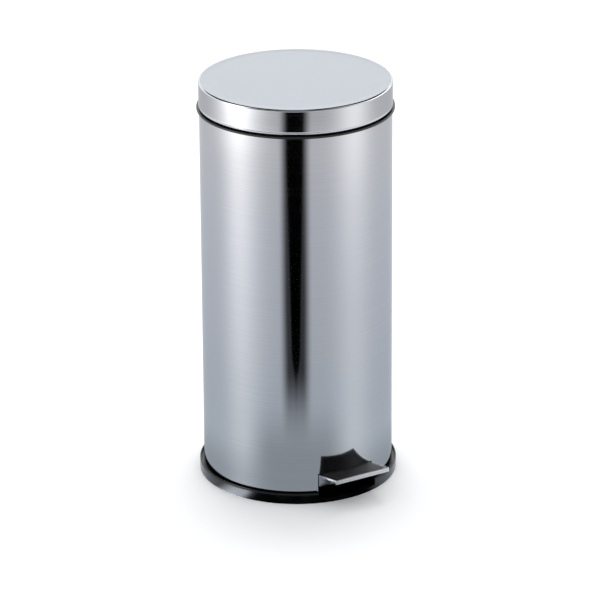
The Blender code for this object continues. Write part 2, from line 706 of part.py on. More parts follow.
def pivot_brackets():
    """Two steel angles on the base floor that carry the pedal's pivot pin."""
    foot_low = BOSS_TOP_Z + GAP
    for number, side in enumerate((-1, 1), 1):
        upright = [(PEDAL_Y - 16 * MM, foot_low), (PEDAL_Y + 16 * MM, foot_low)]
        upright += [(PEDAL_Y + 8 * MM, PEDAL_Z + 2 * MM)]
        upright += arc((PEDAL_Y, PEDAL_Z), 8 * MM, 30, 150, 8)
        upright += [(PEDAL_Y - 8 * MM, PEDAL_Z + 2 * MM)]
        middle = side * (BRACKET_IN + BRACKET_T / 2)
        bracket = outline(f"pivot_bracket_{number}", upright, BRACKET_T, "plain_steel", centre=middle)
        xs = sorted((side * (BRACKET_IN + 0.4 * MM), side * 37 * MM))
        foot = box(
            f"bracket_foot_{number}", (xs[0], PEDAL_Y - 15.6 * MM, foot_low),
            (xs[1], PEDAL_Y + 15.6 * MM, foot_low + 2 * MM),
        )
        bore = cylinder(f"bracket_bore_{number}", (middle, PEDAL_Y, PEDAL_Z), 4.3 * MM, 8 * MM, ALONG_X)
        join(bracket, foot)
        cut(bracket, bore)
        for j, y in enumerate(BOSS_YS):
            x = BOSS_XS[number - 1]
            hole = cylinder(
                f"bracket_hole_{number}{j}", (x, y, foot_low), 2.0 * MM, 9 * MM, segments=SCREW_SEGMENTS
            )
            cut(bracket, hole)


def bracket_screws():
    number = 0
    head_low = BOSS_TOP_Z + 2 * GAP + 2 * MM
    for x in BOSS_XS:
        for y in BOSS_YS:
            number += 1
            screw = cylinder(
                f"bracket_screw_{number}", (x, y, head_low + 1 * MM), 3.2 * MM, 2 * MM,
                finish="plain_steel", segments=SCREW_SEGMENTS,
            )
            shank = cylinder(
                f"bracket_screw_shank_{number}", (x, y, head_low - 3 * MM), 1.6 * MM, 7 * MM,
                segments=SCREW_SEGMENTS,
            )
            join(screw, shank)


def pivot_pin():
    centre = (0, PEDAL_Y, PEDAL_Z)
    pin = cylinder("pivot_pin", centre, 4 * MM, 52 * MM, ALONG_X, "plain_steel")
    head = cylinder("pivot_pin_head", (-25.2 * MM, PEDAL_Y, PEDAL_Z), 6.2 * MM, 2.4 * MM, ALONG_X)
    join(pin, head)
    clip = cylinder("pivot_clip", (22.2 * MM, PEDAL_Y, PEDAL_Z), 6.6 * MM, 1.4 * MM, ALONG_X, "plain_steel")
    cut(clip, cylinder("pivot_clip_bore", (22.2 * MM, PEDAL_Y, PEDAL_Z), 4.3 * MM, 4 * MM, ALONG_X))


def lever_buffer():
    """Rubber block on the base floor that the raised pedal's lever rests on."""
    low = BASE_FLOOR + GAP
    top = PEDAL_Z + PEDAL_PLATE_LOW - 2 * GAP - LEVER_T
    cylinder(
        "lever_buffer", (0, 0.095, (low + top) / 2), 9 * MM, top - low, finish="black_rubber", top=7.5 * MM
    )


# ---------------------------------------------------------------- bucket

BAIL_R = 126.2 * MM
BAIL_WIRE = 1.8 * MM
LUG_IN = 121.2 * MM
LUG_OUT = 123.6 * MM


def inner_bucket():
    rim_top = SHOULDER_Z - 0.8 * MM
    rim_low = SHOULDER_Z - 3.4 * MM + GAP
    bottom = BUCKET_BOTTOM_Z
    wall = 1.6 * MM
    profile = [
        (122.2 * MM, rim_top),
        (BUCKET_RIM_R - 0.5 * MM, rim_top),
        (BUCKET_RIM_R, rim_top - 0.5 * MM),
        (BUCKET_RIM_R, rim_low),
        (123.8 * MM, rim_low),
        (113 * MM, bottom + 4 * MM),
        (109 * MM, bottom),
        (0, bottom),
    ]
    profile = [(0, bottom + wall), (108.2 * MM, bottom + wall), (111.4 * MM, bottom + 4.8 * MM)] + profile
    bucket = turned("inner_bucket", profile, "black_plastic", INNER_SEGMENTS)
    for side in (-1, 1):
        xs = sorted((side * LUG_IN, side * LUG_OUT))
        lug = box(f"bail_lug_{side}", (xs[0], -5 * MM, rim_low + 0.4 * MM), (xs[1], 5 * MM, BAIL_Z + 4.4 * MM))
        join(bucket, lug)
    cut(bucket, cylinder("bail_bore", (0, 0, BAIL_Z), 2.15 * MM, 260 * MM, ALONG_X))


def bucket_bail():
    """Wire handle that lies on the bucket's rim, its ends hooked through the two lugs."""
    arc_points = []
    count = 36
    start = math.radians(-3.5)
    sweep = math.pi + 2 * start
    for i in range(count + 1):
        angle = start - sweep * i / count
        arc_points.append((BAIL_R * math.cos(angle), BAIL_R * math.sin(angle), BAIL_Z))
    ends = [(118.8 * MM, 0), (123.9 * MM, 0), (125.5 * MM, -0.7 * MM), (BAIL_R, -2.6 * MM)]
    first = [(x, y, BAIL_Z) for x, y in ends]
    last = [(-x, y, BAIL_Z) for x, y in reversed(ends)]
    wire("bucket_bail", first + arc_points + last, BAIL_WIRE, "plain_steel")


# ---------------------------------------------------------------- joint axes


def axis_empty(name, place, *piece_names, parent=None):
    """An empty on a joint's axis, and the pieces that turn or slide with it."""
    empty = bpy.data.objects.new(name, None)
    empty.empty_display_size = 20 * MM
    PARTS.objects.link(empty)
    empty.matrix_world = Matrix.Translation(place)
    if parent:
        empty.parent = parent
        empty.matrix_parent_inverse = parent.matrix_world.inverted()
    for piece_name in piece_names:
        piece = bpy.data.objects[piece_name]
        piece.parent = empty
        piece.matrix_parent_inverse = empty.matrix_world.inverted()
    return empty


def joint_axes():
    buffers = [f"lid_buffer_{number}" for number in range(1, 5)]
    axis_empty(
        "lid_axis", (0, HINGE_Y, HINGE_Z), "lid_shell", "lid_liner", *buffers,
        "lid_hinge_leaf", "leaf_screw_1", "leaf_screw_2",
    )
    axis_empty(
        "pedal_axis", (0, PEDAL_Y, PEDAL_Z), "pedal_lever", "pedal_tray", "pedal_pad",
        "pedal_rivet_1", "pedal_rivet_2",
    )
    axis_empty("rod_axis", (ROD_X, ROD_TOP_Y, HOOK_TOP_Z), "push_rod")
    bucket_axis = axis_empty("bucket_axis", (0, 0, BUCKET_BOTTOM_Z), "inner_bucket")
    axis_empty("bail_axis", (0, 0, BAIL_Z), "bucket_bail", parent=bucket_axis)


def main():
    body_shell()
    base_moulding()
    top_collar()
    hinge_housing()
    housing_screws()
    hinge_pin()
    rod_guides()
    lid_shell()
    lid_liner()
    lid_buffers()
    lid_hinge_leaf()
    pedal_tray()
    pedal_pad()
    pedal_lever()
    pedal_rivets()
    push_rod()
    pivot_brackets()
    bracket_screws()
    pivot_pin()
    lever_buffer()
    inner_bucket()
    bucket_bail()
    joint_axes()


main()
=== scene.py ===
"""Looks of the pedal trash can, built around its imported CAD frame. Metres, +Z up, pedal towards -Y."""

import json
import math

import bmesh
import bpy
from mathutils import Matrix, Vector


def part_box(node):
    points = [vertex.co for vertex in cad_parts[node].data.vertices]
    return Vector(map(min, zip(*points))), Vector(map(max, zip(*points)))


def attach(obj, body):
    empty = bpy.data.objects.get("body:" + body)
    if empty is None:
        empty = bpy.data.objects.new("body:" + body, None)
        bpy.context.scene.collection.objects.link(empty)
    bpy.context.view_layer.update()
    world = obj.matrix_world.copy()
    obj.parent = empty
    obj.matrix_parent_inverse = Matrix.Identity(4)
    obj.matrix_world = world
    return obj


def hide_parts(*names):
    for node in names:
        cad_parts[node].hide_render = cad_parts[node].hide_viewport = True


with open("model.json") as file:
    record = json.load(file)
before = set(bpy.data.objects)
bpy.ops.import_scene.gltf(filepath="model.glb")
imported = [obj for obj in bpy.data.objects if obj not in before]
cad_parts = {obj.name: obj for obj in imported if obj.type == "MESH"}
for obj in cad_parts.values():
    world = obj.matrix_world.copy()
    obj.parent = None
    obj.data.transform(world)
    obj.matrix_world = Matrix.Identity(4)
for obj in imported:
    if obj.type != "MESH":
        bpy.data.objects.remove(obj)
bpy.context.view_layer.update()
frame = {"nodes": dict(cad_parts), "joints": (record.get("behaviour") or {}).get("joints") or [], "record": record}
scene = bpy.context.scene

MM = 0.001

# ------------------------------------------------------------------ camera

CAMERA_AZIMUTH = math.radians(-31.34)
CAMERA_PITCH = math.radians(21.73)
CAMERA_ROLL = math.radians(-0.38)
CAMERA_DISTANCE = 6.0
CAMERA_TARGET_Z = 0.2752
CAMERA_SIDE = 0.0031
CAMERA_LENS = 236.1


def make_camera():
    data = bpy.data.cameras.new("camera")
    data.lens = CAMERA_LENS
    data.sensor_width = 36
    data.clip_end = 80
    obj = bpy.data.objects.new("camera", data)
    scene.collection.objects.link(obj)
    sin_a, cos_a = math.sin(CAMERA_AZIMUTH), math.cos(CAMERA_AZIMUTH)
    flat, rise = math.cos(CAMERA_PITCH), math.sin(CAMERA_PITCH)
    back = Vector((sin_a * flat, -cos_a * flat, rise))
    right = Vector((cos_a, sin_a, 0))
    up = back.cross(right)
    rolled_right = right * math.cos(CAMERA_ROLL) + up * math.sin(CAMERA_ROLL)
    rolled_up = up * math.cos(CAMERA_ROLL) - right * math.sin(CAMERA_ROLL)
    place = Vector((0, 0, CAMERA_TARGET_Z)) + right * CAMERA_SIDE + back * CAMERA_DISTANCE
    turn = Matrix((rolled_right, rolled_up, back)).transposed().to_4x4()
    obj.matrix_world = Matrix.Translation(place) @ turn
    scene.camera = obj


make_camera()

# ------------------------------------------------------------------ node helpers


class Tree:
    """Short hand for building a node tree."""

    def __init__(self, tree):
        self.tree = tree

    def node(self, kind, **values):
        made = self.tree.nodes.new(kind)
        for key, value in values.items():
            setattr(made, key, value)
        return made

    def feed(self, source, target):
        """Links a socket to the target, or sets the target to a plain value."""
        if isinstance(source, bpy.types.NodeSocket):
            self.tree.links.new(source, target)
        else:
            target.default_value = source

    def math(self, operation, first, second=0.0, third=0.0):
        made = self.node("ShaderNodeMath", operation=operation)
        for socket, value in zip(made.inputs, (first, second, third)):
            self.feed(value, socket)
        return made.outputs[0]

    def total(self, first, *others):
        for other in others:
            first = self.math("ADD", first, other)
        return first

    def blend(self, share, low, high):
        """The low value where the share is 0, the high one where it is 1."""
        made = self.node("ShaderNodeMix", data_type="FLOAT")
        for socket, value in ((made.inputs[0], share), (made.inputs[2], low), (made.inputs[3], high)):
            self.feed(value, socket)
        return made.outputs[0]

    def ramp(self, value, low, high, start=0.0, end=1.0, smooth=True):
        """The value's low to high as start to end, held beyond both."""
        made = self.node("ShaderNodeMapRange")
        made.interpolation_type = "SMOOTHSTEP" if smooth else "LINEAR"
        for name, given in zip(("From Min", "From Max", "To Min", "To Max"), (low, high, start, end)):
            self.feed(given, made.inputs[name])
        self.feed(value, made.inputs["Value"])
        return made.outputs["Result"]

    def mix(self, share, low, high):
        made = self.node("ShaderNodeMix", data_type="RGBA")
        self.feed(share, made.inputs[0])
        for socket, colour in ((made.inputs[6], low), (made.inputs[7], high)):
            self.feed((*colour, 1) if isinstance(colour, tuple) else colour, socket)
        return made.outputs[2]


class Finish(Tree):
    """A Principled material with its roughness, colour and relief driven by noise."""

    def __init__(self, name, colour, roughness, metallic=0.0):
        self.made = bpy.data.materials.new(name)
        self.made.use_nodes = True
        super().__init__(self.made.node_tree)
        self.shader = self.tree.nodes["Principled BSDF"]
        self.shader.inputs["Base Color"].default_value = (*colour, 1)
        self.shader.inputs["Roughness"].default_value = roughness
        self.shader.inputs["Metallic"].default_value = metallic
        self.place = self.node("ShaderNodeTexCoord").outputs["Object"]

    def noise(self, scale, detail=3.0, stretch=(1, 1, 1), roughness=0.5):
        mapping = self.node("ShaderNodeMapping")
        mapping.inputs["Scale"].default_value = stretch
        self.feed(self.place, mapping.inputs["Vector"])
        made = self.node("ShaderNodeTexNoise")
        made.inputs["Scale"].default_value = scale
        made.inputs["Detail"].default_value = detail
        made.inputs["Roughness"].default_value = roughness
        self.feed(mapping.outputs["Vector"], made.inputs["Vector"])
        return made.outputs["Fac"]

    def edges(self, radius, low=0.06, high=0.3):
        """0 on flat faces, 1 along edges, from how far a rounded normal leans from the plain one."""
        bevel = self.node("ShaderNodeBevel", samples=4)
        bevel.inputs["Radius"].default_value = radius
        plain = self.node("ShaderNodeNewGeometry").outputs["Normal"]
        apart = self.node("ShaderNodeVectorMath", operation="DISTANCE")
        self.feed(bevel.outputs["Normal"], apart.inputs[0])
        self.feed(plain, apart.inputs[1])
        return self.ramp(apart.outputs["Value"], low, high)

    def rough(self, value, low, high):
        self.feed(self.ramp(value, 0.3, 0.7, low, high, smooth=False), self.shader.inputs["Roughness"])

    def colour(self, source):
        self.feed(source, self.shader.inputs["Base Color"])

    def bump(self, value, distance, strength=1.0):
        made = self.node("ShaderNodeBump")
        made.inputs["Distance"].default_value = distance
        made.inputs["Strength"].default_value = strength
        self.feed(value, made.inputs["Height"])
        target = self.shader.inputs["Normal"]
        if target.is_linked:
            self.feed(target.links[0].from_socket, made.inputs["Normal"])
        self.feed(made.outputs["Normal"], target)

# ------------------------------------------------------------------ materials


def polished_steel():
    """Polished sheet: fine polishing streaks round the can, faint smudges and slow waves in the sheet."""
    m = Finish("polished_steel", (0.56, 0.575, 0.60), 0.08, 1.0)
    m.shader.inputs["Specular Tint"].default_value = (0.87, 0.875, 0.885, 1)
    streaks = m.noise(7, 5, (1, 1, 120), 0.6)
    smudges = m.noise(11, 4)
    m.rough(m.math("MULTIPLY_ADD", smudges, 0.5, m.math("MULTIPLY", streaks, 0.5)), 0.045, 0.115)
    m.colour(m.mix(m.ramp(streaks, 0.3, 0.7), (0.545, 0.562, 0.59), (0.575, 0.588, 0.61)))
    m.bump(m.noise(4.5, 1), 0.0009, 0.16)
    m.bump(streaks, 0.000004, 0.5)
    return m.made


def satin_steel():
    """Lid top: satin steel with a fine straight grain."""
    m = Finish("satin_steel", (0.60, 0.63, 0.665), 0.33, 0.75)
    grain = m.noise(60, 5, (1, 26, 1), 0.65)
    clouds = m.noise(9, 3)
    m.rough(grain, 0.28, 0.40)
    m.colour(m.mix(m.math("MULTIPLY_ADD", clouds, 0.4, m.math("MULTIPLY", grain, 0.6)),
                   (0.570, 0.604, 0.652), (0.620, 0.650, 0.698)))
    m.bump(grain, 0.00002, 0.6)
    return m.made


def bright_steel():
    """Pedal tray: bright bar stock with slight handling marks."""
    m = Finish("bright_steel", (0.74, 0.75, 0.765), 0.16, 1.0)
    grain = m.noise(45, 4, (1, 9, 9))
    m.rough(grain, 0.10, 0.24)
    m.colour(m.mix(m.noise(38, 3), (0.70, 0.71, 0.725), (0.78, 0.79, 0.80)))
    m.bump(grain, 0.00002, 0.5)
    return m.made


def plain_steel():
    """Zinc plated hardware: mottled, with brighter rubbed edges."""
    m = Finish("plain_steel", (0.42, 0.43, 0.44), 0.38, 1.0)
    mottle = m.noise(160, 4)
    rubbed = m.edges(0.0006)
    m.rough(mottle, 0.28, 0.46)
    base = m.mix(m.ramp(mottle, 0.3, 0.7), (0.36, 0.37, 0.37), (0.50, 0.505, 0.51))
    m.colour(m.mix(rubbed, base, (0.66, 0.665, 0.67)))
    m.bump(m.noise(900, 2), 0.00003, 0.5)
    return m.made


def gloss_black():
    """Base moulding: glossy black plastic with slight orange peel, dust and paler scuffed edges."""
    m = Finish("black_gloss_plastic", (0.008, 0.0085, 0.010), 0.16)
    peel = m.noise(420, 2)
    dust = m.noise(34, 5, roughness=0.7)
    m.rough(dust, 0.09, 0.20)
    base = m.mix(m.ramp(dust, 0.35, 0.75), (0.0014, 0.0015, 0.0017), (0.0042, 0.0044, 0.0048))
    m.colour(m.mix(m.math("MULTIPLY", m.edges(0.0004), 0.3), base, (0.016, 0.0165, 0.017)))
    m.bump(peel, 0.00002, 0.4)
    return m.made


def moulded_black():
    """Collar, liner, bucket and hinge housing: fine grained black plastic."""
    m = Finish("black_plastic", (0.012, 0.012, 0.013), 0.34)
    grain = m.noise(1500, 2)
    dust = m.noise(26, 4, roughness=0.65)
    m.rough(dust, 0.20, 0.36)
    base = m.mix(m.ramp(dust, 0.35, 0.75), (0.006, 0.006, 0.0065), (0.012, 0.012, 0.013))
    m.colour(m.mix(m.math("MULTIPLY", m.edges(0.0006), 0.5), base, (0.05, 0.05, 0.052)))
    m.bump(grain, 0.00005, 0.5)
    return m.made


def grey_plastic():
    m = Finish("grey_plastic", (0.15, 0.15, 0.16), 0.5)
    grain = m.noise(1200, 2)
    m.rough(m.noise(60, 3), 0.42, 0.6)
    m.colour(m.mix(m.noise(40, 2), (0.12, 0.12, 0.13), (0.18, 0.18, 0.19)))
    m.bump(grain, 0.00005, 0.5)
    return m.made


def black_rubber():
    """Pedal pad, buffers and grip ring: matt rubber with a fine bloom and worn tips."""
    m = Finish("black_rubber", (0.010, 0.011, 0.012), 0.55)
    grain = m.noise(1900, 3)
    bloom = m.noise(55, 4, roughness=0.65)
    m.shader.inputs["Specular IOR Level"].default_value = 0.26
    m.rough(bloom, 0.18, 0.28)
    base = m.mix(m.ramp(bloom, 0.35, 0.7), (0.0035, 0.0038, 0.0043), (0.008, 0.0085, 0.0095))
    m.colour(m.mix(m.math("MULTIPLY", m.edges(0.0002), 0.35), base, (0.045, 0.047, 0.05)))
    m.bump(grain, 0.00004, 0.6)
    return m.made


MATERIALS = {
    "polished_steel": polished_steel(),
    "satin_steel": satin_steel(),
    "bright_steel": bright_steel(),
    "plain_steel": plain_steel(),
    "black_gloss_plastic": gloss_black(),
    "black_plastic": moulded_black(),
    "grey_plastic": grey_plastic(),
    "black_rubber": black_rubber(),
}

# ------------------------------------------------------------------ hardware kept from the frame

NODE_SLOT = {part["node"]: part["material_slot"] for part in frame["record"]["subparts"]}


def dress_frame_nodes():
    """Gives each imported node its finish, and breaks its sharp edges."""
    for name, node in frame["nodes"].items():
        node.data.materials.clear()
        node.data.materials.append(MATERIALS[NODE_SLOT[name]])
        weld = node.modifiers.new("weld", "WELD")
        weld.merge_threshold = 0.000005
        bevel = node.modifiers.new("broken_edges", "BEVEL")
        bevel.width = 0.00018
        bevel.segments = 2
        bevel.limit_method = "ANGLE"
        bevel.angle_limit = math.radians(32)
        bevel.harden_normals = True


dress_frame_nodes()

# ------------------------------------------------------------------ shape helpers

FINE = 288
ROUND = 192


def add(name, mesh, finish):
    mesh.materials.clear()
    mesh.materials.append(MATERIALS[finish])
    obj = bpy.data.objects.new(name, mesh)
    scene.collection.objects.link(obj)
    return obj


def helper(mesh):
    obj = bpy.data.objects.new("helper", mesh)
    scene.collection.objects.link(obj)
    return obj


def apply_steps(obj):
    """Applies the object's modifiers to its mesh."""
    bpy.context.view_layer.update()
    evaluated = obj.evaluated_get(bpy.context.evaluated_depsgraph_get())
    mesh = bpy.data.meshes.new_from_object(evaluated)
    obj.modifiers.clear()
    obj.data = mesh
    return obj


def shade(obj, angle=35):
    obj.data.shade_smooth()
    obj.data.set_sharp_from_angle(angle=math.radians(angle))
    return obj


def filleted(points, steps=4):
    """Points (a, b) or (a, b, radius) of an outline, with an arc of that radius in place of the corner."""
    result = []
    count = len(points)
    for i, point in enumerate(points):
        if len(point) < 3:
            result.append(tuple(point))
            continue
        corner = Vector(point[:2])
        before = (Vector(points[i - 1][:2]) - corner).normalized()
        after = (Vector(points[(i + 1) % count][:2]) - corner).normalized()
        half = before.angle(after) / 2
        centre = corner + (before + after).normalized() * point[2] / math.sin(half)
        reach = point[2] / math.tan(half)
        start = corner + before * reach - centre
        sweep = start.angle_signed(corner + after * reach - centre)
        for step in range(steps + 1):
            turned_by = -sweep * step / steps
            cos_t, sin_t = math.cos(turned_by), math.sin(turned_by)
            spoke = Vector((start.x * cos_t - start.y * sin_t, start.x * sin_t + start.y * cos_t))
            result.append(tuple(centre + spoke))
    return result


def turned(name, profile, finish, segments=FINE, angle=35):
    """A profile of (radius, height) points, outer side running down, turned about +Z."""
    mesh = bpy.data.meshes.new(name)
    edges = [(i, i + 1) for i in range(len(profile) - 1)]
    if profile[0][0] > 0:
        edges.append((len(profile) - 1, 0))
    mesh.from_pydata([(r, 0, z) for r, z in profile], edges, [])
    obj = add(name, mesh, finish)
    screw = obj.modifiers.new("turn", "SCREW")
    screw.axis = "Z"
    screw.steps = segments
    screw.render_steps = segments
    screw.use_merge_vertices = True
    screw.merge_threshold = 0.00001
    return shade(apply_steps(obj), angle)


def box_mesh(low, high):
    low, high = Vector(low), Vector(high)
    shape = bmesh.new()
    placed = Matrix.Translation((low + high) / 2) @ Matrix.Diagonal((*(high - low), 1))
    bmesh.ops.create_cube(shape, size=1, matrix=placed)
    mesh = bpy.data.meshes.new("box")
    shape.to_mesh(mesh)
    shape.free()
    return mesh


def cylinder_mesh(centre, radius, depth, turn=None, segments=48):
    shape = bmesh.new()
    bmesh.ops.create_cone(
        shape, cap_ends=True, segments=segments, radius1=radius, radius2=radius, depth=depth,
        matrix=Matrix.Translation(centre) @ (turn or Matrix.Identity(4)),
    )
    mesh = bpy.data.meshes.new("cylinder")
    shape.to_mesh(mesh)
    shape.free()
    return mesh


def prism_mesh(points, low, high, frame_matrix=None):
    """A closed outline of (a, b) points as a solid between two heights."""
    shape = bmesh.new()
    bottom = [shape.verts.new((a, b, low)) for a, b in points]
    face = shape.faces.new(bottom)
    moved = bmesh.ops.extrude_face_region(shape, geom=[face])["geom"]
    bmesh.ops.translate(
        shape, vec=(0, 0, high - low), verts=[v for v in moved if isinstance(v, bmesh.types.BMVert)]
    )
    if frame_matrix:
        shape.transform(frame_matrix)
    bmesh.ops.recalc_face_normals(shape, faces=shape.faces)
    mesh = bpy.data.meshes.new("prism")
    shape.to_mesh(mesh)
    shape.free()
    return mesh


def boolean(obj, operation, meshes):
    """Cuts the helper meshes from the object, or joins them to it, and removes them."""
    others = [helper(mesh) for mesh in meshes]
    for other in others:
        step = obj.modifiers.new("step", "BOOLEAN")
        step.operation = operation
        step.solver = "EXACT"
        step.object = other
    apply_steps(obj)
    for other in others:
        bpy.data.objects.remove(other, do_unlink=True)
    return obj


def cut(obj, *meshes):
    return boolean(obj, "DIFFERENCE", meshes)


def join(obj, *meshes):
    return boolean(obj, "UNION", meshes)


def soften(obj, width, segments=2, angle=30):
    """Rounds the object's edges."""
    bevel = obj.modifiers.new("soften", "BEVEL")
    bevel.width = width
    bevel.segments = segments
    bevel.limit_method = "ANGLE"
    bevel.angle_limit = math.radians(angle)
    bevel.use_clamp_overlap = True
    return shade(apply_steps(obj))


def hand_over(obj, body, *nodes):
    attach(obj, body)
    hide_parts(*nodes)


ALONG_X = Matrix.Rotation(math.pi / 2, 4, "Y")
ALONG_Y = Matrix.Rotation(-math.pi / 2, 4, "X")
# A flat outline's own X, Y, Z as the can's Y, Z, X
SIDE_VIEW = Matrix(((0, 0, 1, 0), (1, 0, 0, 0), (0, 1, 0, 0), (0, 0, 0, 1)))

# Sizes read from the frame
BODY_LOW, BODY_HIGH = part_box("body_shell")
LID_LOW, LID_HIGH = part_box("lid_shell")
COLLAR_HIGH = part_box("top_collar")[1]
COLLAR_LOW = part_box("top_collar")[0]
BASE_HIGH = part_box("base_moulding")[1]
TRAY_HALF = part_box("pedal_tray")[1].x
RIM_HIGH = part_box("inner_bucket")[1]
BUCKET_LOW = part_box("inner_bucket")[0]
BODY_R = BODY_HIGH.x
BODY_SHEET = 0.8 * MM
LID_R = LID_HIGH.x
LID_SHEET = 1.0 * MM
COLLAR_R = COLLAR_HIGH.x
BASE_R = BASE_HIGH.x
HEIGHT = LID_HIGH.z
SHOULDER_Z = COLLAR_HIGH.z
DECK_Z = LID_LOW.z - 2.6 * MM
JOINT_AT = {joint["name"]: Vector(joint["pos_m"]) for joint in frame["joints"] if "pos_m" in joint}
HINGE = JOINT_AT["lid_hinge"]
PEDAL_PIVOT = JOINT_AT["pedal_press"]

# Clearance between two pieces, and the holes that their hardware goes through
GAP = 0.3 * MM
PIN_BORE_R = 2.75 * MM
SCREW_HOLE_R = 1.9 * MM

# ------------------------------------------------------------------ can body

PEDAL_RISE = math.radians(10.3)
PEDAL_FRAME = Matrix.Translation(PEDAL_PIVOT) @ Matrix.Rotation(-PEDAL_RISE, 4, "X")
PEDAL_BACK = 98 * MM
PEDAL_FRONT = 161.6 * MM
RIM_TOP = 2.6 * MM
RIM_LOW = -3.9 * MM
CHEEK_LOW = -17.5 * MM
RIM_WALL = 1.6 * MM
PAD_TOP = 3.4 * MM


def body_panel():
    """The can's polished tube, with a beaded lower hem, the pedal's slot and the lock seam at the back."""
    inner = BODY_R - BODY_SHEET
    low = BODY_LOW.z
    bead = 0.16 * MM
    profile = [(BODY_R, BODY_HIGH.z), (BODY_R, low + 5 * MM), (BODY_R, low + 3.6 * MM)]
    profile += [(BODY_R + bead * 0.5, low + 2.4 * MM), (BODY_R + bead, low + 1.2 * MM)]
    profile += [(BODY_R + bead, low + 0.08 * MM), (BODY_R + bead - 0.08 * MM, low)]
    profile += [(inner - 0.7 * MM, low), (inner - 0.7 * MM, low + 5 * MM), (inner, low + 6 * MM)]
    profile += [(inner, BODY_HIGH.z)]
    body = turned("body_panel", profile, "polished_steel", angle=50)
    slot_half = TRAY_HALF + 0.7 * MM
    slot = box_mesh((-slot_half, -160 * MM, -60 * MM), (slot_half, -75 * MM, PAD_TOP + 0.5 * MM))
    slot.transform(PEDAL_FRAME)
    seam_x, seam_half = -16 * MM, 0.2 * MM
    seam = box_mesh(
        (seam_x - seam_half, BODY_R - 1.8 * MM, low + 8 * MM), (seam_x + seam_half, 150 * MM, 600 * MM)
    )
    cut(body, slot, seam)
    shade(body, 40)
    hand_over(body, "bin_body", "body_shell")


def collar_ring():
    """Plastic ring under the lid: lip over the can's edge, upstand, and the ledge that holds the bucket."""
    upstand = 139.5 * MM
    wall = 2.4 * MM
    seat_r = RIM_HIGH.x + 2.7 * MM
    ledge_z = SHOULDER_Z - 3.4 * MM
    lip_low = DECK_Z - 3.2 * MM
    body_top = BODY_HIGH.z
    skirt = BODY_R - BODY_SHEET - GAP
    profile = filleted([
        (seat_r, SHOULDER_Z, 0.8 * MM),
        (upstand, SHOULDER_Z, 1.0 * MM),
        (upstand, DECK_Z, 0.8 * MM),
        (COLLAR_R, DECK_Z, 0.7 * MM),
        (COLLAR_R, lip_low, 0.5 * MM),
        (BODY_R + GAP, lip_low),
        (BODY_R + GAP, body_top + GAP),
        (skirt, body_top + GAP),
        (skirt, COLLAR_LOW.z, 0.4 * MM),
        (skirt - wall, COLLAR_LOW.z, 0.4 * MM),
        (skirt - wall, DECK_Z - 4.5 * MM),
        (upstand - wall, DECK_Z - 0.5 * MM),
        (upstand - wall, SHOULDER_Z - wall),
        (seat_r + wall, SHOULDER_Z - wall),
        (seat_r + wall, ledge_z - wall),
        (RIM_HIGH.x - 4 * MM, ledge_z - wall, 0.6 * MM),
        (RIM_HIGH.x - 4 * MM, ledge_z, 0.6 * MM),
        (seat_r, ledge_z, 0.4 * MM),
    ])
    collar = turned("collar_ring", profile, "black_plastic")
    lever_notch = box_mesh((-9.5 * MM, 126.5 * MM, 583.5 * MM), (7.5 * MM, 153 * MM, 605 * MM))
    cut(collar, lever_notch)
    shade(collar)
    hand_over(collar, "bin_body", "top_collar")


def base_skirt():
    """Black base: floor pan, spigot inside the can, and the gloss ring that shows below the can's hem."""
    floor_top = 3 * MM
    wall_in = 140.6 * MM
    wall_out = BODY_R - BODY_SHEET - 1.0 * MM
    wall_top = 28 * MM
    ring_top = BODY_LOW.z - GAP
    channel_z = ring_top - 4 * MM
    groove_in, groove_out, groove_top = 143.5 * MM, 149.5 * MM, 5 * MM
    profile = filleted([
        (0, floor_top),
        (wall_in, floor_top, 1.5 * MM),
        (wall_in, wall_top, 0.6 * MM),
        (wall_out, wall_top, 0.6 * MM),
        (wall_out, ring_top),
        (BODY_R + 0.2 * MM, ring_top),
        (BODY_R + 0.5 * MM, channel_z),
        (BASE_R - 2.4 * MM, channel_z, 0.4 * MM),
        (BASE_R - 1.9 * MM, ring_top, 0.4 * MM),
        (BASE_R, ring_top, 0.7 * MM),
        (BASE_R, ring_top - 2 * MM),
        (BASE_R, 2 * MM),
        (BASE_R, 0, 0.6 * MM),
        (groove_out, 0, 0.3 * MM),
        (groove_out, groove_top),
        (groove_in, groove_top),
        (groove_in, 0, 0.3 * MM),
        (0, 0),
    ])
    base = turned("base_skirt", profile, "black_gloss_plastic")
    notch_half = TRAY_HALF + 3.0 * MM
    cut(base, box_mesh((-notch_half, -160 * MM, 6.5 * MM), (notch_half, -125 * MM, 40 * MM)))
    for x in (-31 * MM, 31 * MM):
        for y in (-40 * MM, -20 * MM):
            join(base, cylinder_mesh((x, y, 5 * MM), 5 * MM, 6 * MM))
            cut(base, cylinder_mesh((x, y, 6 * MM), SCREW_HOLE_R, 7 * MM))
    shade(base)
    hand_over(base, "bin_body", "base_moulding")


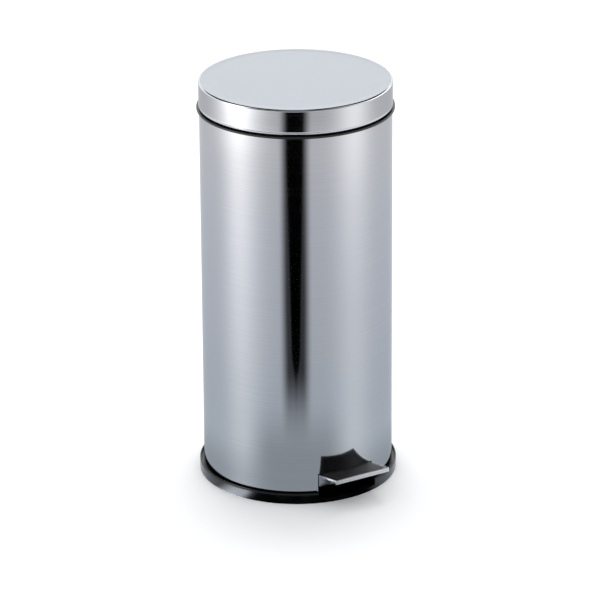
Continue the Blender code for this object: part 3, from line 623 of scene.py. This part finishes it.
def housing_block():
    """Moulded hinge block behind the can, with softened edges and two ears round the pin."""
    low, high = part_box("hinge_housing")
    top = 590 * MM
    front = 139 * MM
    back = high.y
    ear_front = 150.5 * MM
    ear_r = 5.5 * MM
    ear_half = 2.5 * MM
    outline = [(front, low.z), (back - 8 * MM, low.z), (back, low.z + 10 * MM), (back, top - 4 * MM)]
    outline += [(back - 4 * MM, top), (front, top)]
    housing = add("housing_block", prism_mesh(outline, low.x, high.x, SIDE_VIEW), "black_plastic")
    for side in (-1, 1):
        ear = [(ear_front, top - 4 * MM), (ear_front, HINGE.z)]
        for step in range(1, 25):
            angle = math.pi * (1 - step / 24)
            ear.append((HINGE.y + ear_r * math.cos(angle), HINGE.z + ear_r * math.sin(angle)))
        ear.append((HINGE.y + ear_r, top - 4 * MM))
        middle = side * 23 * MM
        join(housing, prism_mesh(ear, middle - ear_half, middle + ear_half, SIDE_VIEW))
    pocket = box_mesh((-16 * MM, 151.5 * MM, low.z - 1 * MM), (16 * MM, back - 3 * MM, top - 3 * MM))
    bore = cylinder_mesh((0, HINGE.y, HINGE.z), PIN_BORE_R, 80 * MM, ALONG_X)
    body_room = cylinder_mesh((0, 0, 550 * MM), BODY_R + GAP, 72.6 * MM, segments=FINE)
    lip_room = cylinder_mesh((0, 0, 600 * MM), COLLAR_R + GAP, 28.4 * MM, segments=FINE)
    cut(housing, pocket, body_room, lip_room, bore)
    for x in (-22 * MM, 22 * MM):
        cut(housing, cylinder_mesh((x, 147 * MM, 556 * MM), SCREW_HOLE_R, 26 * MM, ALONG_Y))
    soften(housing, 0.7 * MM, 3)
    hand_over(housing, "bin_body", "hinge_housing")


body_panel()
collar_ring()
base_skirt()
housing_block()

# ------------------------------------------------------------------ lid

LID_EDGE = 2.8 * MM


def lid_skin():
    """The lid's pressing: satin top, polished rolled edge and side, and a flared lower hem."""
    inner = LID_R - LID_SHEET
    low = LID_LOW.z
    flare = 0.5 * MM
    wall = LID_R - flare
    dish = 0.3 * MM
    crest = wall - LID_EDGE
    profile = [(0, HEIGHT - dish), (crest - 14 * MM, HEIGHT - dish), (crest - 12 * MM, HEIGHT - dish * 0.98)]
    profile += [(crest - 7 * MM, HEIGHT - dish * 0.7), (crest - 3 * MM, HEIGHT - dish * 0.25)]
    profile.append((crest, HEIGHT))
    for step in range(1, 13):
        angle = math.radians(90 - 90 * step / 12)
        profile.append((wall - LID_EDGE * (1 - math.cos(angle)), HEIGHT - LID_EDGE * (1 - math.sin(angle))))
    profile += [(wall, HEIGHT - LID_EDGE - 1 * MM), (wall, low + 4.5 * MM)]
    profile += [(wall, low + 3.3 * MM), (wall + flare * 0.25, low + 2.7 * MM)]
    profile += [(LID_R - flare * 0.1, low + 1.2 * MM)]
    profile += [(LID_R, low + 0.8 * MM), (LID_R - 0.15 * MM, low + 0.25 * MM), (LID_R - 0.6 * MM, low)]
    profile += [(inner - 0.6 * MM, low), (inner - 0.6 * MM, low + 5 * MM), (inner - 0.3 * MM, low + 5.6 * MM)]
    under = LID_EDGE - LID_SHEET
    for step in range(7):
        angle = math.radians(90 * step / 6)
        profile.append((crest + under * math.cos(angle), HEIGHT - LID_EDGE + under * math.sin(angle)))
    profile.append((0, HEIGHT - LID_SHEET))
    lid = turned("lid_skin", profile, "polished_steel", angle=50)
    hinge_notch = box_mesh((-33 * MM, 120 * MM, 580 * MM), (33 * MM, 160 * MM, 616.5 * MM))
    cut(lid, hinge_notch)
    lid.data.materials.append(MATERIALS["satin_steel"])
    for face in lid.data.polygons:
        if face.center.xy.length < crest and face.normal.z > 0.9:
            face.material_index = 1
    shade(lid, 40)
    hand_over(lid, "lid", "lid_shell")


def liner_moulding():
    """Plastic liner inside the lid, with the boss for the hinge leaf."""
    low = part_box("lid_liner")[0].z
    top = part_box("lid_liner")[1].z
    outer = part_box("lid_liner")[1].x
    wall = 2.2 * MM
    deck = top - 3.1 * MM
    flange_in = 134.5 * MM
    profile = filleted([
        (0, top),
        (outer - 3 * MM, top),
        (outer, top - 3 * MM),
        (outer, low, 0.6 * MM),
        (flange_in, low, 0.6 * MM),
        (flange_in, low + wall, 0.6 * MM),
        (outer - wall, low + wall),
        (outer - wall, deck),
        (0, deck),
    ])
    liner = turned("liner_moulding", profile, "black_plastic", ROUND)
    boss = box_mesh((-19 * MM, 131 * MM, low), (19 * MM, 142.2 * MM, top - 1 * MM))
    join(liner, boss)
    for x in (-11 * MM, 11 * MM):
        cut(liner, cylinder_mesh((x, 136.5 * MM, low + 4 * MM), 1.8 * MM, 10 * MM, segments=24))
    shade(liner)
    hand_over(liner, "lid", "lid_liner")


lid_skin()
liner_moulding()

# ------------------------------------------------------------------ pedal

BEAD_DEPTH = 0.85 * MM
BEAD_ANGLES = (72, 50, 28, 0, -28, -50, -72)


def rim_section(relief):
    """(inset, height) points round the tray's rim wall, plain inside. Outside it has two rounded beads
    where the relief is 1, and is plain with a rounded top edge where it is 0."""
    points = [(RIM_WALL, RIM_LOW), (RIM_WALL, RIM_TOP - 0.4 * MM), (RIM_WALL - 0.4 * MM, RIM_TOP)]
    half = (RIM_TOP - RIM_LOW) / 4
    swell = half - 0.05 * MM
    edge = 1.0 * MM
    for step, angle in enumerate(BEAD_ANGLES):
        turn = math.radians(angle)
        over = math.radians(15 * step)
        bead = (BEAD_DEPTH * (1 - math.cos(turn)), RIM_TOP - half + swell * math.sin(turn))
        plain = (edge * (1 - math.sin(over)), RIM_TOP - edge * (1 - math.cos(over)))
        points.append(tuple(relief * b + (1 - relief) * p for b, p in zip(bead, plain)))
    for angle in BEAD_ANGLES:
        turn = math.radians(angle)
        depth = BEAD_DEPTH * relief * (1 - math.cos(turn))
        points.append((depth, RIM_LOW + half + swell * math.sin(turn)))
    points.append((BEAD_DEPTH * relief, RIM_LOW))
    return points


def rim_mesh():
    """The rim wall swept round the tray's two sides and front, in the pedal's own frame."""
    half = TRAY_HALF
    corner = 2.6 * MM
    path = [((-half, -PEDAL_BACK), (-1, 0))]
    for side, start in ((-1, 180), (1, 270)):
        for step in range(9):
            angle = math.radians(start + 90 * step / 8)
            spoke = (math.cos(angle), math.sin(angle))
            centre = (side * (half - corner), -PEDAL_FRONT + corner)
            path.append(((centre[0] + corner * spoke[0], centre[1] + corner * spoke[1]), spoke))
    path.append(((half, -PEDAL_BACK), (1, 0)))
    shape = bmesh.new()
    loops = []
    for place, outward in path:
        loops.append([
            shape.verts.new((place[0] - outward[0] * inset, place[1] - outward[1] * inset, height))
            for inset, height in rim_section(max(0.0, -outward[1]))
        ])
    for one, two in zip(loops, loops[1:]):
        for i in range(len(one)):
            j = (i + 1) % len(one)
            shape.faces.new((one[i], one[j], two[j], two[i]))
    shape.faces.new(loops[0])
    shape.faces.new(loops[-1])
    bmesh.ops.recalc_face_normals(shape, faces=shape.faces)
    mesh = bpy.data.meshes.new("rim")
    shape.to_mesh(mesh)
    shape.free()
    return mesh


def pedal_plate():
    """Pressed tray: double beaded rim, deep cheeks that taper forward, and the plate under the pad."""
    tray = add("pedal_plate", rim_mesh(), "bright_steel")
    inner = TRAY_HALF - 1.0 * MM
    plate = box_mesh((-inner, -PEDAL_FRONT + 1.0 * MM, -2.4 * MM), (inner, -PEDAL_BACK, -0.9 * MM))
    cheek_top = RIM_LOW + 1 * MM
    cheek_front = -PEDAL_FRONT + 12 * MM
    cheek = [(-PEDAL_BACK, cheek_top), (-PEDAL_BACK, CHEEK_LOW), (-PEDAL_BACK - 6 * MM, CHEEK_LOW)]
    cheek += [(cheek_front, RIM_LOW), (cheek_front, cheek_top)]
    sides = []
    for side in (-1, 1):
        span = sorted((side * (TRAY_HALF - 0.12 * MM), side * (TRAY_HALF - 1.4 * MM)))
        sides.append(prism_mesh(cheek, span[0], span[1], SIDE_VIEW))
    join(tray, plate, *sides)
    for x in (-10 * MM, 10 * MM):
        cut(tray, cylinder_mesh((x, -128 * MM, -2 * MM), 2.3 * MM, 8 * MM, segments=32))
    shade(tray, 30)
    tray.data.transform(PEDAL_FRAME)
    hand_over(tray, "pedal", "pedal_tray")


def pedal_mat():
    """Rubber pad in the tray: a smooth border and staggered pips."""
    half = TRAY_HALF - RIM_WALL - GAP
    front = -PEDAL_FRONT + RIM_WALL + GAP
    base_top = 2.5 * MM
    low = -0.6 * MM
    outline = [(-half, front, 1.6 * MM), (half, front, 1.6 * MM), (half, -PEDAL_BACK), (-half, -PEDAL_BACK)]
    pad = add("pedal_mat", prism_mesh(filleted(outline, 5), low, base_top), "black_rubber")
    recess = box_mesh((-15 * MM, -133 * MM, -10 * MM), (15 * MM, -123 * MM, low + 1.6 * MM))
    cut(pad, recess)
    soften(pad, 0.5 * MM, 3)
    pitch = 4.3 * MM
    margin = 4.6 * MM
    root = 0.3 * MM
    shape = bmesh.new()
    rows = int((PEDAL_FRONT - PEDAL_BACK - 2 * margin) / (pitch / 2))
    columns = int((2 * half - 2 * margin) / pitch)
    for row in range(rows + 1):
        for column in range(columns + row % 2):
            x = (column - (columns + row % 2 - 1) / 2) * pitch
            y = front + margin + row * pitch / 2
            bmesh.ops.create_cone(
                shape, cap_ends=True, segments=8, radius1=1.4 * MM, radius2=1.0 * MM,
                depth=PAD_TOP - base_top + root,
                matrix=Matrix.Translation((x, y, (PAD_TOP + base_top - root) / 2)),
            )
    pips = bpy.data.meshes.new("pips")
    shape.to_mesh(pips)
    shape.free()
    join(pad, pips)
    shade(pad, 30)
    pad.data.transform(PEDAL_FRAME)
    hand_over(pad, "pedal", "pedal_pad")


pedal_plate()
pedal_mat()

# ------------------------------------------------------------------ bucket


def bucket_moulding():
    """The lift-out bucket with its rolled rim and two bail lugs."""
    rim_top = SHOULDER_Z - 0.8 * MM
    rim_low = SHOULDER_Z - 3.1 * MM
    bottom = BUCKET_LOW.z
    wall = 1.6 * MM
    lug_r = 4.4 * MM
    profile = filleted([
        (0, bottom + wall),
        (109.8 * MM, bottom + wall, 4.5 * MM),
        (122.2 * MM, rim_top, 0.7 * MM),
        (RIM_HIGH.x, rim_top, 0.9 * MM),
        (RIM_HIGH.x, rim_low, 0.4 * MM),
        (123.8 * MM, rim_low, 0.4 * MM),
        (112.6 * MM, bottom, 5 * MM),
        (0, bottom),
    ], 6)
    bucket = turned("bucket_moulding", profile, "black_plastic", ROUND)
    bail_z = JOINT_AT["bail_swing"].z
    for side in (-1, 1):
        xs = sorted((side * 121.2 * MM, side * 123.6 * MM))
        lug = cylinder_mesh((sum(xs) / 2, 0, bail_z), lug_r, xs[1] - xs[0], ALONG_X)
        foot = box_mesh((xs[0], -lug_r, rim_low + 0.4 * MM), (xs[1], lug_r, bail_z))
        join(bucket, foot, lug)
    cut(bucket, cylinder_mesh((0, 0, bail_z), 2.15 * MM, 260 * MM, ALONG_X))
    shade(bucket)
    hand_over(bucket, "bucket", "inner_bucket")


def bail_wire():
    """Round wire handle lying on the bucket's rim, its ends turned in through the lugs."""
    bail_r, wire_r = 126.2 * MM, 1.8 * MM
    bail_z = JOINT_AT["bail_swing"].z
    ends = [(118.8 * MM, 0), (123.2 * MM, 0), (125.0 * MM, -0.5 * MM), (125.9 * MM, -1.6 * MM)]
    ends += [(bail_r, -3.2 * MM)]
    points = list(ends)
    first, last = math.radians(-4.5), math.radians(-175.5)
    for step in range(73):
        angle = first + (last - first) * step / 72
        points.append((bail_r * math.cos(angle), bail_r * math.sin(angle)))
    points += [(-x, y) for x, y in reversed(ends)]
    curve = bpy.data.curves.new("bail_wire", "CURVE")
    curve.dimensions = "3D"
    curve.bevel_depth = wire_r
    curve.bevel_resolution = 5
    curve.use_fill_caps = True
    spline = curve.splines.new("POLY")
    spline.points.add(len(points) - 1)
    for point, (x, y) in zip(spline.points, points):
        point.co = (x, y, bail_z, 1)
    source = helper(curve)
    bpy.context.view_layer.update()
    mesh = bpy.data.meshes.new_from_object(source.evaluated_get(bpy.context.evaluated_depsgraph_get()))
    bpy.data.objects.remove(source, do_unlink=True)
    shape = bmesh.new()
    shape.from_mesh(mesh)
    bmesh.ops.remove_doubles(shape, verts=shape.verts, dist=0.00001)
    shape.to_mesh(mesh)
    shape.free()
    wire = add("bail_wire", mesh, "plain_steel")
    shade(wire, 50)
    hand_over(wire, "bail", "bucket_bail")


bucket_moulding()
bail_wire()

# ------------------------------------------------------------------ studio

scene.view_settings.view_transform = "Standard"
scene.view_settings.look = "None"

FLOOR_SIZE = 80
# How far the two floors lie under and over the level that the can stands on
FLOOR_GAP = 0.2 * MM
MIRROR_GAP = 0.1 * MM
# How much of the light that falls on it the polished steel sends back
STEEL_SHARE = 0.57
WINDOW_LIGHT = 1.8
SCREEN_LIGHT = 2.0
UNLIT_LIGHT = 0.04
CEILING_LIGHT = 0.01
FAR_FLOOR_LIGHT = 0.62
RING_GLOW = 3.8
LAMP_PLACE = (0.42, 0.68, 3.0)
LAMP_SIZE = 1.3
LAMP_POWER = 35
DEGREES = 180 / math.pi


def plane(name):
    shape = bmesh.new()
    bmesh.ops.create_grid(shape, x_segments=1, y_segments=1, size=FLOOR_SIZE / 2)
    mesh = bpy.data.meshes.new(name)
    shape.to_mesh(mesh)
    shape.free()
    obj = bpy.data.objects.new(name, mesh)
    scene.collection.objects.link(obj)
    return obj


def floor():
    """The pale floor. What the polished can mirrors of it is lit by mirrored_floor instead."""
    ground = plane("floor")
    ground.location.z = -FLOOR_GAP
    made = bpy.data.materials.new("floor")
    made.use_nodes = True
    shader = made.node_tree.nodes["Principled BSDF"]
    shader.inputs["Base Color"].default_value = (0.97, 0.97, 0.97, 1)
    shader.inputs["Roughness"].default_value = 0.95
    shader.inputs["Specular IOR Level"].default_value = 0.0
    ground.data.materials.append(made)
    ground.visible_glossy = False


def mirroring_place(t):
    """Three values of a floor point that place every band of the mirrored floor: its turn round the can,
    away, its distance in metres from the place on the can that mirrors it to the camera, and degrees,
    how far round the can that place is. Both angles count to the right of the camera's side."""
    split = t.node("ShaderNodeSeparateXYZ")
    t.feed(t.node("ShaderNodeTexCoord").outputs["Object"], split.inputs[0])
    x, y = split.outputs["X"], split.outputs["Y"]
    radius = t.math("SQRT", t.math("ADD", t.math("MULTIPLY", x, x), t.math("MULTIPLY", y, y)))
    around = t.math("ARCTAN2", x, t.math("MULTIPLY", y, -1))
    ratio = t.math("DIVIDE", BODY_R, t.math("MAXIMUM", radius, BODY_R * 1.01))
    # The mirroring place's own angle, closer with each step
    facing = t.math("MULTIPLY", around, 0.5)
    for _ in range(5):
        bent = t.math("ARCSINE", t.math("MULTIPLY", ratio, t.math("SINE", facing)))
        facing = t.math("MULTIPLY", t.math("ADD", around, bent), 0.5)
    side = t.math("MULTIPLY", BODY_R, t.math("SINE", facing))
    ahead = t.math("SUBTRACT", t.math("MULTIPLY", radius, radius), t.math("MULTIPLY", side, side))
    away = t.math("SUBTRACT", t.math("SQRT", t.math("MAXIMUM", ahead, 0.0)),
                  t.math("MULTIPLY", BODY_R, t.math("COSINE", facing)))
    return t.math("MULTIPLY", around, DEGREES), away, t.math("MULTIPLY", facing, DEGREES)


def plain_light(t, away, degrees):
    """Floor light in front of the can and, a little brighter, on its flanks: dimmer close to the can."""
    front = t.total(t.ramp(away, 0.15, 0.41, 0.235, 0.345),
                    t.ramp(away, 0.41, 1.43, 0.0, 0.055, smooth=False),
                    t.ramp(away, 1.43, 1.65, 0.0, 0.035), t.ramp(away, 1.665, 1.745, 0.0, -0.09))
    flank = t.total(t.ramp(away, 0.055, 0.23, 0.28, 0.385),
                    t.ramp(away, 0.36, 1.55, 0.0, 0.075, smooth=False),
                    t.ramp(away, 1.665, 1.745, 0.0, -0.06))
    flank_edge = t.ramp(away, 0.2, 0.5, 16, 11)
    from_middle = t.math("ABSOLUTE", t.math("SUBTRACT", degrees, t.ramp(away, 0.2, 0.6, 0.0, 4.0)))
    flank_share = t.ramp(from_middle, flank_edge, t.math("ADD", flank_edge, 20))
    return t.blend(flank_share, front, flank)


def strip_light(t, away, degrees):
    """The two bright strips to the left and right of the camera, brighter further out."""

    def strip(middle, width):
        offset = t.math("DIVIDE", t.math("SUBTRACT", degrees, middle), width)
        return t.math("EXPONENT", t.math("MULTIPLY", t.math("MULTIPLY", offset, offset), -0.5))

    left = t.ramp(away, 0.107, 1.70, 0.10, 0.39, smooth=False)
    left_far = t.ramp(away, 1.436, 2.06, 0.0, 0.7)
    right = t.total(t.ramp(away, 0.785, 1.29, 0.10, 0.16, smooth=False),
                    t.ramp(away, 1.29, 1.84, 0.0, 0.20, smooth=False))
    return t.total(t.math("MULTIPLY", strip(-36.0, 8.0), left),
                   t.math("MULTIPLY", strip(-37.5, 11.0), left_far),
                   t.math("MULTIPLY", strip(36.5, 8.5), right))


def lit_share(t, away, degrees):
    """0 in the unlit strip towards the camera, soft at its sides and harder at its core, 1 beside it."""
    off = t.math("ABSOLUTE", t.math("ADD", degrees, t.ramp(away, 1.70, 1.75, 0.8, 0.4)))
    wide = t.math("MULTIPLY", t.ramp(off, t.ramp(away, 0.3, 0.9, 3.8, 4.6), 10.2, 1.0, 0.0), 0.92)
    core_edge = t.total(t.ramp(away, 0.45, 0.60, 0.0, 2.0),
                        t.ramp(away, 0.60, 1.55, 0.0, 2.3, smooth=False))
    core = t.math("MULTIPLY", t.ramp(off, core_edge, t.math("ADD", core_edge, 1.2), 1.0, 0.0), 0.08)
    depth = t.math("MULTIPLY", t.ramp(away, 0.18, 0.525), t.ramp(away, 2.2, 3.2, 1.0, 0.0))
    return t.math("SUBTRACT", 1.0, t.math("MULTIPLY", t.math("ADD", wide, core), depth))


def ring_light(t, turn):
    """The nearest floor, which the base ring mirrors: dark in front, with a bright strip to its left."""
    in_front = t.math("MULTIPLY", t.ramp(turn, -32, -27), t.ramp(turn, 45, 60, 1.0, 0.0))
    glow = t.math("MULTIPLY", t.ramp(turn, -58, -42), t.ramp(turn, -37, -30, 1.0, 0.0))
    return t.math("MULTIPLY_ADD", glow, RING_GLOW, t.ramp(in_front, 0, 1, 0.45, 0.0, smooth=False))


def mirrored_floor():
    """How bright the floor looks in the can's reflections. Only mirrored rays see it."""
    ground = plane("mirrored_floor")
    ground.rotation_euler.z = CAMERA_AZIMUTH
    ground.location.z = MIRROR_GAP
    made = bpy.data.materials.new("mirrored_floor")
    made.use_nodes = True
    t = Tree(made.node_tree)
    made.node_tree.nodes.clear()
    turn, away, degrees = mirroring_place(t)
    lit = lit_share(t, away, degrees)
    far = t.ramp(away, 1.9, 3.6)
    base = t.math("MULTIPLY", t.blend(far, plain_light(t, away, degrees), FAR_FLOOR_LIGHT), lit)
    strips = t.math("MULTIPLY", t.blend(far, strip_light(t, away, degrees), 0.0), lit)
    at_ring = t.ramp(away, 0.037, 0.039, 1.0, 0.0)
    base = t.blend(at_ring, base, ring_light(t, turn))
    strips = t.blend(at_ring, strips, 0.0)
    near_tint = t.mix(t.ramp(away, 0.15, 0.75), (0.92, 1.0, 1.085), (0.965, 1.0, 1.085))
    tint = t.mix(t.ramp(away, 0.85, 1.75), near_tint, (1.0, 1.0, 1.026))
    layers = []
    for colour, strength in ((tint, base), ((1.035, 1.0, 0.955, 1), strips)):
        light = t.node("ShaderNodeEmission")
        t.feed(colour, light.inputs["Color"])
        t.feed(t.math("DIVIDE", strength, STEEL_SHARE), light.inputs["Strength"])
        layers.append(light.outputs[0])
    both = t.node("ShaderNodeAddShader")
    t.feed(layers[0], both.inputs[0])
    t.feed(layers[1], both.inputs[1])
    t.feed(both.outputs[0], t.node("ShaderNodeOutputMaterial").inputs["Surface"])
    made.cycles.emission_sampling = "NONE"
    ground.data.materials.append(made)
    ground.visible_camera = False
    ground.visible_diffuse = False
    ground.visible_shadow = False
    ground.visible_transmission = False


def studio_world():
    """Pale studio all round. Polished surfaces mirror its walls, brighter behind the can, the unlit
    space on the camera's side, a window to the left, a low bright screen to the right and the dark
    ceiling. Heights are degrees above the horizon, turns are degrees to the right of the camera's side."""
    made = bpy.data.worlds.new("studio")
    scene.world = made
    made.use_nodes = True
    t = Tree(made.node_tree)
    made.node_tree.nodes.clear()
    split = t.node("ShaderNodeSeparateXYZ")
    t.feed(t.node("ShaderNodeTexCoord").outputs["Generated"], split.inputs[0])
    x, y, z = split.outputs["X"], split.outputs["Y"], split.outputs["Z"]
    height = t.math("MULTIPLY", t.math("ARCSINE", z), DEGREES)
    flat = t.math("SQRT", t.math("MAXIMUM", t.math("SUBTRACT", 1.0, t.math("MULTIPLY", z, z)), 0.0001))
    towards = t.math("ADD", t.math("MULTIPLY", x, math.sin(CAMERA_AZIMUTH)),
                     t.math("MULTIPLY", y, -math.cos(CAMERA_AZIMUTH)))
    cosine = t.math("DIVIDE", towards, flat)
    sideways = t.math("DIVIDE", t.math("ADD", t.math("MULTIPLY", x, math.cos(CAMERA_AZIMUTH)),
                                       t.math("MULTIPLY", y, math.sin(CAMERA_AZIMUTH))), flat)
    low_edge = t.ramp(cosine, -0.35, 0.3, 22, 62)
    ceiling = t.math("MULTIPLY", t.ramp(height, low_edge, t.math("ADD", low_edge, 7.0)),
                     t.ramp(height, 79, 84, 1.0, 0.0))
    unlit = t.math("MULTIPLY", t.ramp(cosine, math.cos(math.radians(88)), math.cos(math.radians(48))),
                   t.math("MULTIPLY", t.ramp(height, 0, 4), t.ramp(height, 13, 22, 1.0, 0.8)))
    walls = t.blend(unlit, t.ramp(cosine, -0.6, 0.1, 1.42, 1.15), UNLIT_LIGHT)
    turn = t.math("MULTIPLY", t.math("ARCTAN2", sideways, cosine), DEGREES)
    window = t.math("MULTIPLY", t.ramp(turn, -100, -84), t.ramp(turn, -66, -56, 1.0, 0.0))
    window = t.math("MULTIPLY", window, t.ramp(height, 40, 55, 1.0, 0.0))
    screen = t.math("MULTIPLY", t.ramp(turn, 86, 100), t.ramp(turn, 140, 152, 1.0, 0.0))
    screen = t.math("MULTIPLY", screen, t.ramp(height, 9, 15, 1.0, 0.0))
    walls = t.total(walls, t.math("MULTIPLY", window, WINDOW_LIGHT), t.math("MULTIPLY", screen, SCREEN_LIGHT))
    mirrored = t.blend(ceiling, walls, CEILING_LIGHT)
    glossy = t.node("ShaderNodeLightPath").outputs["Is Glossy Ray"]
    strength = t.math("ADD", t.math("MULTIPLY", mirrored, glossy), t.math("SUBTRACT", 1.0, glossy))
    light = t.node("ShaderNodeBackground")
    light.inputs["Color"].default_value = (0.975, 0.99, 1.0, 1)
    t.feed(strength, light.inputs["Strength"])
    t.feed(light.outputs[0], t.node("ShaderNodeOutputWorld").inputs["Surface"])


def overhead():
    """Soft lamp above and behind the can, aimed at its foot."""
    data = bpy.data.lights.new("overhead", "AREA")
    data.shape = "DISK"
    data.size = LAMP_SIZE
    data.energy = LAMP_POWER
    obj = bpy.data.objects.new("overhead", data)
    scene.collection.objects.link(obj)
    place = Vector(LAMP_PLACE)
    obj.location = place
    obj.rotation_euler = place.to_track_quat("Z", "Y").to_euler()
    obj.visible_camera = False
    obj.visible_glossy = False


floor()
mirrored_floor()
studio_world()
overhead()
